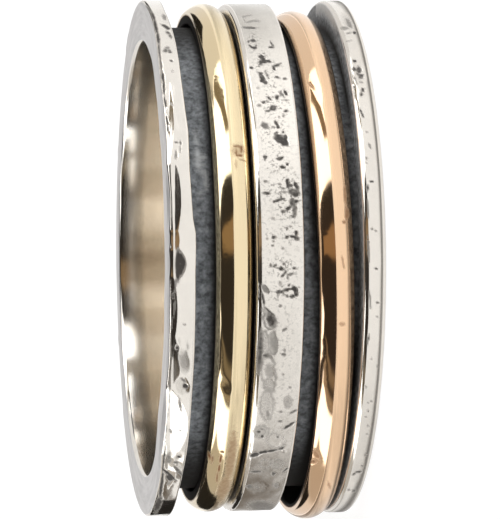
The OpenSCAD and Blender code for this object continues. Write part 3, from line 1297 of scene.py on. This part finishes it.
def base_section(sizes):
    """The outline of the base band: a sleeve with a rim at each end."""
    sleeve_r = BORE_R + sizes.sleeve_t
    upper_z = RING_W - sizes.upper_rim_w
    piece = section("hammered_base", BORE_R, sleeve_r, 0, RING_W)
    for height in (sizes.lower_rim_w, upper_z):
        bpy.ops.mesh.select_all(action="SELECT")
        bpy.ops.mesh.bisect(plane_co=(0, 0, height), plane_no=(0, 0, 1))
    for low, high in ((0, sizes.lower_rim_w), (upper_z, RING_W)):
        bpy.ops.mesh.select_mode(type="EDGE")
        pick(piece, lambda x, z: near(x, sleeve_r) and between(z, low, high), of="edges")
        bpy.ops.mesh.extrude_region_move(TRANSFORM_OT_translate={"value": (RIM_R - sleeve_r, 0, 0)})
    bpy.ops.mesh.select_all(action="SELECT")
    bpy.ops.mesh.dissolve_faces()
    for z in (0, RING_W):
        round_corner(piece, BORE_R, z, sizes.bore_round, BORE_SEGMENTS)
        round_corner(piece, RIM_R, z, sizes.rim_round, RIM_SEGMENTS)
    round_corner(piece, RIM_R, sizes.lower_rim_w, sizes.lower_channel_round, RIM_SEGMENTS)
    round_corner(piece, RIM_R, upper_z, sizes.small_round, SMALL_SEGMENTS)
    open_section(piece)
    divide(piece, lambda x, z: near(x, RIM_R) and z > upper_z, UPPER_RIM_CUTS)
    divide(piece, lambda x, z: near(x, RIM_R) and z < sizes.lower_rim_w, LOWER_RIM_CUTS)
    divide(piece, lambda x, z: near(z, RING_W) and x > sleeve_r - CLOSE, OUTER_END_CUTS)
    divide(piece, lambda x, z: near(z, RING_W) and x < sleeve_r + CLOSE, INNER_END_CUTS)
    divide(piece, lambda x, z: near(x, sleeve_r), SLEEVE_CUTS)
    return piece


# Where the base band's materials stand in its list, after the polished silver of its rims
CHANNEL, SATIN, BORE = 1, 2, 3
# How far out the channel's faces reach, and from where to where the end face is uneven
CHANNEL_FACES = RIM_R - 0.05 * MM
UNEVEN_END = (BORE_FACES, RIM_R - 0.2 * MM)
# How level an end face is, so that its edge's roundings stay polished
LEVEL = 0.85


def base_materials(piece, sizes, colours):
    """Polished silver, with a black channel, satin end faces and a bore of its own."""
    piece.data.materials.append(polished_silver("polished_silver", colours, rough=0.12))
    piece.data.materials.append(blackened_channel(colours))
    piece.data.materials.append(satin_silver(colours))
    piece.data.materials.append(bore_silver(colours))
    sleeve_r = BORE_R + sizes.sleeve_t
    low, high = sizes.lower_rim_w, RING_W - sizes.upper_rim_w
    for face in piece.data.polygons:
        r, z = math.hypot(face.center.x, face.center.y), face.center.z
        if between(r, sleeve_r, CHANNEL_FACES) and between(z, low, high):
            face.material_index = CHANNEL
        elif abs(face.normal.z) > LEVEL:
            face.material_index = SATIN
        elif r < BORE_FACES:
            face.material_index = BORE


# Between which shares of the upper rim's width its sleeve is beaten back with the end face
BEATEN_SLEEVE = (0.2, 1.0)


def beat_rim_edges(piece, sizes):
    """Beats the upper rim's edge over the channel and its end face back, unevenly."""
    skin = Skin(piece)
    turns = [row.turn for row in RIM_EDGE]
    raised = np.interp(skin.turn, turns, [row.channel_side for row in RIM_EDGE]) * MM
    lowered = np.interp(skin.turn, turns, [row.end_side for row in RIM_EDGE]) * MM
    upper_z = RING_W - sizes.upper_rim_w
    share = np.clip((skin.z - upper_z) / sizes.upper_rim_w, 0, 1)
    rim = (skin.z > upper_z - CLOSE) & (skin.r > BORE_R + sizes.sleeve_t - CLOSE)
    beaten = raised * (1 - share) - lowered * share
    move = np.where(rim, beaten, -lowered * smooth(share, *BEATEN_SLEEVE))
    push(piece, np.maximum(move, 0), "UP")
    push(piece, np.maximum(-move, 0), "DOWN")


# How far in from the rims' outside their marks reach, and those of the crease
UPPER_MARKS_IN, LOWER_MARKS_IN, CREASE_IN = 0.3 * MM, 0.25 * MM, 0.6 * MM
# The edge between the lower rim and the channel, to this much above the rim
LOWER_EDGE = 0.02 * MM
# The rows of the photograph between which the ripple grows rough, on the upper rim and the silver band
ROUGH_RIM_ROWS, ROUGH_BAND_ROWS = (330, 460), (300, 400)
# The bore's bumps are long ones, along the axis
BORE_STRETCH = (1, 1, 0.08)


def hammer_base(skin, sizes, hammer):
    """Works the marks of the hammer and of wear into the base band, with painted dark reflections in the
    upper rim's crease and front facet.
    """
    low, high = sizes.lower_rim_w, RING_W - sizes.upper_rim_w
    upper = (skin.z > high) & (skin.r > RIM_R - UPPER_MARKS_IN)
    lower = (skin.z < low + LOWER_EDGE) & (skin.r > RIM_R - LOWER_MARKS_IN)
    crease = (skin.z > high) & (skin.r > RIM_R - CREASE_IN)
    # The crease is pressed in, and its dark reflection is painted
    skin.stamp(UPPER_RIM_CREASE, crease, soft=0.8, ragged=0.4)
    skin.stamp(UPPER_RIM_PITS, upper, soft=0.6, ragged=0.4)
    skin.stamp(UPPER_RIM_HOLLOWS, upper, soft=1.3, ragged=0.1)
    # Painted dark reflection in the front facet
    skin.stamp(UPPER_RIM_SHADES, upper, soft=0.6, ragged=0.0)
    skin.cut(UPPER_RIM_FACETS, upper)
    skin.stamp(LOWER_RIM_PITS, lower, soft=0.6, ragged=0.4)
    skin.stamp(LOWER_RIM_HOLLOWS, lower, soft=1.3, ragged=0.1)
    rough = smooth(skin.py, *ROUGH_RIM_ROWS) * upper
    ripple = hammer.ripple + (hammer.rough_ripple - hammer.ripple) * rough
    skin.ripple(upper | lower, ripple, RIM_BUMPS)
    bore = skin.r < BORE_SKIN
    skin.depth += bore * hammer.bore_ripple * bumps(skin.spots * BORE_STRETCH, *BORE_BUMPS)
    end_face = (skin.z > high) & between(skin.r, *UNEVEN_END)
    skin.ripple(end_face, hammer.end_ripple, END_BUMPS)


# How far beside a band the channel's painted shade fades from deep black to its own grey
BESIDE_BAND = (0.02 * MM, 0.16 * MM)
# How far in from the rims' outside the lower rim's corner wears bright, and its wall is deep black with
# painted shade
WORN_CORNER, SHADED_WALL = (0.5 * MM, 0.2 * MM), (0.55 * MM, 0.4 * MM)
# The rows of the photograph between which the channel changes towards the ring's top and bottom:
# where the corner's wear fades, where painted shade turns the whole channel black, and where it turns
# the lower rim's wall black
CORNER_ROWS = (15, 60)
TOP_ROWS, BOTTOM_ROWS = (15, 70), (420, 485)
WALL_TOP_ROWS, WALL_BOTTOM_ROWS = (90, 150), (300, 380)
# How worn the corner is at the top and how much less lower down, and how black the painted shade turns
# the ends
CORNER_WEAR, CORNER_LOSS, END_SHADE = 0.9, 0.8, 0.8


def wear_channel(skin, sizes):
    """Wears the channel's blackening in patches, and at the lower rim's corner."""
    sleeve_r = BORE_R + sizes.sleeve_t
    channel = between(skin.z, sizes.lower_rim_w, RING_W) & between(skin.r, sleeve_r, RIM_R)
    skin.stamp(CHANNEL_WEAR, channel, soft=1.2, ragged=0.3)
    edge = skin.z < sizes.lower_rim_w + LOWER_EDGE
    corner = edge * smooth(skin.r, RIM_R - WORN_CORNER[0], RIM_R - WORN_CORNER[1])
    worn = corner * (CORNER_WEAR - CORNER_LOSS * smooth(skin.py, *CORNER_ROWS))
    skin.dark = 1 - np.maximum(skin.dark, worn)
    skin.store("oxide")


def shade_channel(skin, sizes):
    """Paints deep black shade on the channel beside and under the bands, towards the ring's top and
    bottom, and on the lower rim's wall.
    """
    leans = {"yellow_gold_spinner": 0, "silver_spinner": 0, "rose_gold_spinner": sizes.rose_lean}
    sleeve = near(skin.r, BORE_R + sizes.sleeve_t)
    for node, lean in leans.items():
        low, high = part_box(node)
        slope = math.tan(lean)
        middle = (low.z + high.z) / 2 + skin.spots[:, 0] * slope
        away = np.abs(skin.z - middle) - (high.z - low.z) / 2 + high.x * slope
        skin.darken(sleeve * (1 - smooth(away, *BESIDE_BAND)))
    ends = np.maximum(smooth(skin.py, *BOTTOM_ROWS), 1 - smooth(skin.py, *TOP_ROWS))
    above = skin.z > sizes.lower_rim_w + LOWER_EDGE
    skin.darken(END_SHADE * ends * above)
    inner = 1 - smooth(skin.r, RIM_R - SHADED_WALL[0], RIM_R - SHADED_WALL[1])
    wall = near(skin.z, sizes.lower_rim_w) * inner
    ends = np.maximum(1 - smooth(skin.py, *WALL_TOP_ROWS), smooth(skin.py, *WALL_BOTTOM_ROWS))
    skin.darken(END_SHADE * wall * ends)
    # The stored darkness is painted shade beside the bands, at the ring's ends and on the lower rim's
    # wall
    skin.store("covered")


class RING_OT_base_band(bpy.types.Operator):
    """Model the silver base band with its hammered rims and blackened channel"""

    bl_idname = "ring.base_band"
    bl_label = "Base Band"

    def execute(self, context):
        sizes, hammer, colours, _ = settings()
        piece = base_section(sizes)
        turn(piece, hammer.base_steps)
        base_materials(piece, sizes, colours)
        beat_rim_edges(piece, sizes)
        skin = Skin(piece)
        hammer_base(skin, sizes, hammer)
        # The stored darkness is oxide in the pits, and painted dark reflection in the crease and the
        # front facet
        skin.store("black")
        # Painted brown reflection bands in the bore
        skin.stamp(BORE_BANDS, skin.r < BORE_ENDS, soft=1.0, ragged=0.0)
        skin.store("tarnish")
        wear_channel(skin, sizes)
        shade_channel(skin, sizes)
        skin.press()
        seat(piece, "base_band", "base")
        return {"FINISHED"}


def band_section(name, inner, outer, low, high, sizes):
    """The outline of the flat silver band."""
    piece = section(name, inner, outer, low, high)
    round_corner(piece, outer, high, sizes.silver_round, RIM_SEGMENTS)
    for x, z in ((outer, low), (inner, low), (inner, high)):
        round_corner(piece, x, z, sizes.small_round, SMALL_SEGMENTS)
    open_section(piece)
    divide(piece, lambda x, z: near(x, outer), SILVER_CUTS)
    return piece


def half_round_section(name, inner, outer, width, rise):
    """The outline of a half-round band round z = 0: straight sides, and a crown that is one arc."""
    shoulder, half = outer - rise, width / 2
    crown_r = (rise * rise + half * half) / (2 * rise)
    piece = section(name, inner, shoulder, -half, half)
    open_section(piece)
    divide(piece, lambda x, z: near(abs(z), half), GOLD_WALL_CUTS)
    bpy.ops.mesh.select_mode(type="EDGE")
    pick(piece, lambda x, z: near(x, shoulder), of="edges")
    bpy.ops.mesh.delete(type="EDGE")
    bpy.ops.mesh.select_mode(type="VERT")
    pick(piece, lambda x, z: near(x, shoulder) and near(z, -half))
    sweep = 2 * math.asin(half / crown_r)
    bpy.ops.mesh.spin(
        steps=CROWN_STEPS, angle=sweep, center=(outer - crown_r, 0, 0), axis=(0, 1, 0))
    bpy.ops.mesh.select_all(action="SELECT")
    bpy.ops.mesh.remove_doubles(threshold=SAME)
    return piece


def hang(piece, place, lean):
    """Moves a band from the origin to its place and leans it."""
    edit(piece)
    bpy.ops.mesh.select_all(action="SELECT")
    bpy.ops.transform.translate(value=place)
    bpy.ops.transform.rotate(value=lean, orient_axis="Y", center_override=place)
    object_mode()


# A gold band: its sizes, how far it leans, its colour, and its marks
GoldBand = namedtuple("GoldBand", "metal clearance thickness width rise lean colour stains hollows")
# How far below the crown's foot a gold band is still marked
BELOW_CROWN = 0.05 * MM
# How far in from the outside painted shade turns the side walls of the gold bands and of the silver band
# black
GOLD_WALL_SHADE, SILVER_WALL_SHADE = (0.55 * MM, 0.45 * MM), (0.3 * MM, 0.2 * MM)


def gold_band(band, sleeve_r, hammer, colours):
    """Models a gold band and hangs it in its place."""
    low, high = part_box(band.metal + "_spinner")
    centre = ((low.x + high.x) / 2, 0, (low.z + high.z) / 2)
    inner = sleeve_r + band.clearance
    outer = inner + band.thickness
    piece = half_round_section(band.metal + "_half_round", inner, outer, band.width, band.rise)
    turn(piece, hammer.gold_steps)
    outside = Skin(piece).r > outer - band.rise - BELOW_CROWN
    hang(piece, centre, band.lean)
    piece.data.materials.append(polished_gold(band.metal, band.colour, colours))
    skin = Skin(piece, centre[0])
    skin.stamp(band.stains, outside, soft=1.0, ragged=0.4)
    skin.stamp(band.hollows, outside, soft=1.4, ragged=0.1)
    skin.ripple(outside, hammer.gold_ripple, GOLD_BUMPS)
    skin.store("stained")
    # Painted shade: the side walls turn deep black below the crown
    skin.darken(1 - smooth(skin.r, outer - GOLD_WALL_SHADE[0], outer - GOLD_WALL_SHADE[1]))
    skin.store("covered")
    skin.press()
    seat(piece, band.metal + "_spinner", band.metal + "_band")


class RING_OT_gold_bands(bpy.types.Operator):
    """Model the two half-round gold bands"""

    bl_idname = "ring.gold_bands"
    bl_label = "Gold Bands"

    def execute(self, context):
        sizes, hammer, colours, _ = settings()
        sleeve_r = BORE_R + sizes.sleeve_t
        yellow_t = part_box("yellow_gold_spinner")[1].x - sleeve_r - sizes.band_clearance
        yellow = GoldBand(
            "yellow_gold", sizes.band_clearance, yellow_t, sizes.yellow_w, sizes.yellow_crown,
            0.0, colours.yellow_gold, YELLOW_STAINS_AND_SHADE, YELLOW_HOLLOWS)
        rose = GoldBand(
            "rose_gold", sizes.rose_clearance, sizes.rose_t, sizes.rose_w, sizes.rose_crown,
            sizes.rose_lean, colours.rose_gold, ROSE_STAINS, ROSE_HOLLOWS)
        for band in (yellow, rose):
            gold_band(band, sleeve_r, hammer, colours)
        return {"FINISHED"}


class RING_OT_silver_band(bpy.types.Operator):
    """Model the hammered and pitted silver band"""

    bl_idname = "ring.silver_band"
    bl_label = "Silver Band"

    def execute(self, context):
        sizes, hammer, colours, _ = settings()
        low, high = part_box("silver_spinner")
        inner = BORE_R + sizes.sleeve_t + sizes.band_clearance
        piece = band_section("pitted_silver_band", inner, high.x, low.z, high.z, sizes)
        turn(piece, hammer.band_steps)
        piece.data.materials.append(polished_silver("pitted_silver", colours, rough=0.14))
        skin = Skin(piece)
        outside = skin.r > high.x - SILVER_WALL_SHADE[0]
        skin.stamp(BAND_SPECKS, outside, soft=1.3, ragged=0.2)
        skin.store("specks")
        skin.stamp(BAND_PITS, outside, soft=0.8, ragged=0.45)
        # Painted shade in the facets and hollows and along their outlines
        skin.stamp(BAND_SHADES, outside, soft=0.9, ragged=0.25)
        skin.outline(BAND_RINGS, outside, thick=0.2, ragged=0.25)
        # Painted shade on the band's side walls
        walls = 1 - smooth(skin.r, high.x - SILVER_WALL_SHADE[0], high.x - SILVER_WALL_SHADE[1])
        skin.darken(walls)
        rough = smooth(skin.py, *ROUGH_BAND_ROWS)
        ripple = hammer.ripple + (hammer.rough_ripple - hammer.ripple) * rough
        skin.ripple(outside, ripple, BAND_BUMPS)
        # The stored darkness is oxide in the pits and specks, with painted shade in hollows, outlines
        # and on the walls
        skin.store("black")
        skin.press()
        seat(piece, "silver_spinner", "silver_band")
        return {"FINISHED"}


# Studio

# A panel of the room as the ring sees it: its middle and half its size in degrees, round from the
# camera towards +X and up from the floor, how far it rises per degree round, how soft its edge is,
# and its colour and strength
Panel = namedtuple("Panel", "name turn up half_turn half_up slant soft colour strength")
PANELS = (
    Panel("back wall", 180, 12, 85, 33, 0.0, 6, (1.0, 0.98, 0.96), 0.85),
    Panel("left wall", -115, 15, 20, 30, 0.0, 5, (1.0, 0.93, 0.84), 0.55),
    Panel("left stripe", -65, 28, 3, 28, 0.0, 2, (0.9, 0.75, 0.55), 0.4),
    Panel("middle stripe", -53, 28, 4, 28, 0.0, 3, (0.8, 0.65, 0.45), 0.3),
    Panel("wood", 10, 28, 8, 34, 0.0, 2, (0.75, 0.50, 0.27), 0.42),
    Panel("right softbox", 67, 24, 30, 29, 0.0, 1.5, (1.0, 1.0, 1.0), 2.5),
    Panel("right upper softbox", 84, 61, 47, 12, 0.0, 1.5, (1.0, 1.0, 1.0), 2.5),
    Panel("brown picture", 76, 19, 19, 9, 0.75, 1.5, (0.62, 0.50, 0.34), 0.42),
    Panel("left softbox", -85, 25, 15, 29, 0.0, 1.5, (1.0, 1.0, 1.0), 2.5),
    Panel("left far softbox", -120, 46, 20, 8, 0.0, 1.5, (1.0, 1.0, 1.0), 2.5),
    Panel("left upper softbox", -80, 71, 40, 7, 0.0, 1.5, (1.0, 1.0, 1.0), 2.5),
)
DARK_ROOM = (0.035, 0.03, 0.026, 1)


def within(tree, away, half, soft):
    """1 within half of the middle, falling to 0 over soft."""
    step = tree.nodes.new("ShaderNodeMapRange")
    step.interpolation_type = "SMOOTHSTEP"
    tree.links.new(math_node(tree, "ABSOLUTE", away), step.inputs["Value"])
    step.inputs["From Min"].default_value = half + soft
    step.inputs["From Max"].default_value = half - soft
    return step.outputs["Result"]


def room_light():
    """The room that the metal mirrors, worked out by direction."""
    world = bpy.data.worlds.new("studio_room")
    bpy.context.scene.world = world
    world.use_nodes = True
    tree = world.node_tree
    split = tree.nodes.new("ShaderNodeSeparateXYZ")
    tree.links.new(tree.nodes.new("ShaderNodeTexCoord").outputs["Generated"], split.inputs[0])
    x, y, z = split.outputs
    towards = math_node(tree, "MULTIPLY", y, -1)
    around = math_node(tree, "DEGREES", math_node(tree, "ARCTAN2", x, towards))
    up = math_node(tree, "DEGREES", math_node(tree, "ARCSINE", z))
    colour = DARK_ROOM
    for panel in PANELS:
        off = math_node(tree, "SUBTRACT", around, panel.turn)
        aside = math_node(tree, "WRAP", off, 180, -180)
        rise = math_node(tree, "MULTIPLY_ADD", aside, panel.slant, panel.up)
        above = math_node(tree, "SUBTRACT", up, rise)
        mask = math_node(
            tree, "MULTIPLY", within(tree, aside, panel.half_turn, panel.soft),
            within(tree, above, panel.half_up, panel.soft))
        colour = mix_colour(tree, mask, colour, paint(panel.colour, panel.strength))
    tree.links.new(colour, tree.nodes["Background"].inputs["Color"])


# A round card on the floor that only the metal mirrors: its middle, how far from there it is fullest,
# and half its width and the softness of its edge there, in millimetres; how much of the floor it
# hides, its colour, and how much it glows
Card = namedtuple("Card", "name x y ring half soft hides colour glow")
CARDS = (
    # Painted shadow: a dark card where the ring's shadow would fall on the floor that the metal mirrors
    Card("brown_card", -46, 26, 0, 34, 26, 1.0, (0.17, 0.14, 0.11), 0.0),
    Card("left_grey_card", -28, -36, 0, 14, 12, 0.28, (0.35, 0.33, 0.30), 0.0),
    Card("grey_card", 38, 28, 0, 21, 18, 0.5, (0.35, 0.34, 0.32), 0.0),
    Card("bright_card", 28, -19, 0, 15, 12, 0.9, (0.55, 0.55, 0.55), 1.6),
    Card("contact_shade", -0.1, 0.0, 11.0, 0.3, 0.35, 0.8, (0.10, 0.09, 0.08), 0.0),
    Card("inner_glow", 0, 0, 0, 8.2, 0.9, 0.9, (0.60, 0.57, 0.52), 2.2),
    Card("upper_inner_glow", 7.5, 0, 0, 1.2, 1.2, 0.9, (0.66, 0.57, 0.47), 6.0),
    Card("lower_inner_glow", -7.5, 0, 0, 1.2, 1.2, 0.9, (0.66, 0.57, 0.47), 6.0),
)

# A black card that stands beside the ring: its place along X, how near and how far it reaches along Y,
# and how low and how high, in millimetres
Flag = namedtuple("Flag", "name x near far low high")
FLAGS = (
    Flag("upper_flag", 16, 2, 16, 9.3, 15),
    Flag("lower_flag", -16, 1.2, 14, 4.6, 13.5),
)

# Each floor card lies this much above the one before, so that none cuts another
CARD_STEP = 0.03 * MM
FLAG_BLACK = (0.02, 0.018, 0.016, 1)
PAPER = (0.3, 0.3, 0.3, 1)
FLOOR_RADIUS = 2.0
ROUND_SIDES = 96


def matt_material(name, colour):
    """A matt material with no shine."""
    material, tree, shader = new_material(name)
    shader.inputs["Metallic"].default_value = 0
    shader.inputs["Roughness"].default_value = 0.9
    shader.inputs["Specular IOR Level"].default_value = 0.0
    shader.inputs["Base Color"].default_value = colour
    return material, tree, shader


def stage_card(piece, name, colour):
    """Hides a card from everything but the metal, and gives it a matt material."""
    piece.name = name
    material, tree, shader = matt_material(name, colour)
    piece.data.materials.append(material)
    piece.visible_camera = False
    piece.visible_diffuse = False
    piece.visible_shadow = False
    return tree, shader


def floor_card(card, height):
    """A round card that fades into the floor."""
    radius = (card.ring + card.half + card.soft) * MM
    bpy.ops.mesh.primitive_circle_add(
        vertices=ROUND_SIDES, radius=radius, fill_type="NGON",
        location=(card.x * MM, card.y * MM, height))
    tree, shader = stage_card(bpy.context.object, card.name, paint(card.colour))
    place = object_place(tree)
    length = tree.nodes.new("ShaderNodeVectorMath")
    length.operation = "LENGTH"
    tree.links.new(place, length.inputs[0])
    patches = noise_node(tree, place, scale=0.12, detail=3.0, rough=0.6)
    uneven = map_range(tree, patches, *CARD_EDGE_RANGE)
    ragged = math_node(tree, "MULTIPLY_ADD", uneven, card.soft, length.outputs["Value"])
    fullest = within(tree, math_node(tree, "SUBTRACT", ragged, card.ring), card.half, card.soft)
    tree.links.new(math_node(tree, "MULTIPLY", fullest, card.hides), shader.inputs["Alpha"])
    shader.inputs["Emission Color"].default_value = paint(card.colour)
    shader.inputs["Emission Strength"].default_value = card.glow


def standing_flag(flag):
    """A small black card that the bands' shoulders mirror."""
    bpy.ops.mesh.primitive_plane_add(
        size=1, rotation=(0, math.pi / 2, 0),
        location=(flag.x * MM, (flag.near + flag.far) / 2 * MM, (flag.low + flag.high) / 2 * MM))
    piece = bpy.context.object
    piece.scale = ((flag.high - flag.low) * MM, (flag.far - flag.near) * MM, 1)
    stage_card(piece, flag.name, FLAG_BLACK)


def floor_paper(studio):
    """A plain pale floor that glows a little."""
    bpy.ops.mesh.primitive_circle_add(
        vertices=ROUND_SIDES, radius=FLOOR_RADIUS, fill_type="NGON", location=(0, 0, 0))
    floor = bpy.context.object
    floor.name = "floor"
    material, _, shader = matt_material("floor_paper", PAPER)
    shader.inputs["Emission Color"].default_value = (1, 1, 1, 1)
    shader.inputs["Emission Strength"].default_value = studio.floor_glow
    floor.data.materials.append(material)


class RING_OT_stage(bpy.types.Operator):
    """Set up the floor, the light and the camera"""

    bl_idname = "ring.stage"
    bl_label = "Studio"

    def execute(self, context):
        studio = context.scene.ring_studio
        object_mode()
        floor_paper(studio)
        for index, card in enumerate(CARDS, 1):
            floor_card(card, index * CARD_STEP)
        for flag in FLAGS:
            standing_flag(flag)
        room_light()
        spot, right, up, back = camera_axes(studio)
        camera = bpy.data.cameras.new("camera")
        camera.sensor_width = SENSOR
        camera.lens = studio.focal_px * SENSOR / PHOTO_H
        camera.clip_start = 1 * MM
        eye = bpy.data.objects.new("camera", camera)
        context.scene.collection.objects.link(eye)
        eye.matrix_world = Matrix.Translation(spot) @ Matrix((right, up, back)).transposed().to_4x4()
        context.scene.camera = eye
        context.scene.view_settings.view_transform = "Standard"
        return {"FINISHED"}


OPERATORS = (RING_OT_base_band, RING_OT_gold_bands, RING_OT_silver_band, RING_OT_stage)


class RING_PT_panel(bpy.types.Panel):
    """The ring's steps in the sidebar"""

    bl_idname = "RING_PT_panel"
    bl_label = "Spinner Ring"
    bl_space_type = "VIEW_3D"
    bl_region_type = "UI"
    bl_category = "Ring"

    def draw(self, context):
        for operator in OPERATORS:
            self.layout.operator(operator.bl_idname)


GROUPS = {
    "ring_sizes": RingSizes,
    "ring_hammer": HammerWork,
    "ring_colours": MetalColours,
    "ring_studio": StudioSetup,
}


def register():
    for cls in (*GROUPS.values(), *OPERATORS, RING_PT_panel):
        bpy.utils.register_class(cls)
    for name, cls in GROUPS.items():
        setattr(bpy.types.Scene, name, PointerProperty(type=cls))


def unregister():
    for name in GROUPS:
        delattr(bpy.types.Scene, name)
    for cls in (RING_PT_panel, *reversed(OPERATORS), *GROUPS.values()):
        bpy.utils.unregister_class(cls)


def main():
    register()
    scratches_group()
    blackening_group()
    clouds_group()
    bpy.ops.ring.stage()
    bpy.ops.ring.base_band()
    bpy.ops.ring.gold_bands()
    bpy.ops.ring.silver_band()


if __name__ == "__main__":
    main()
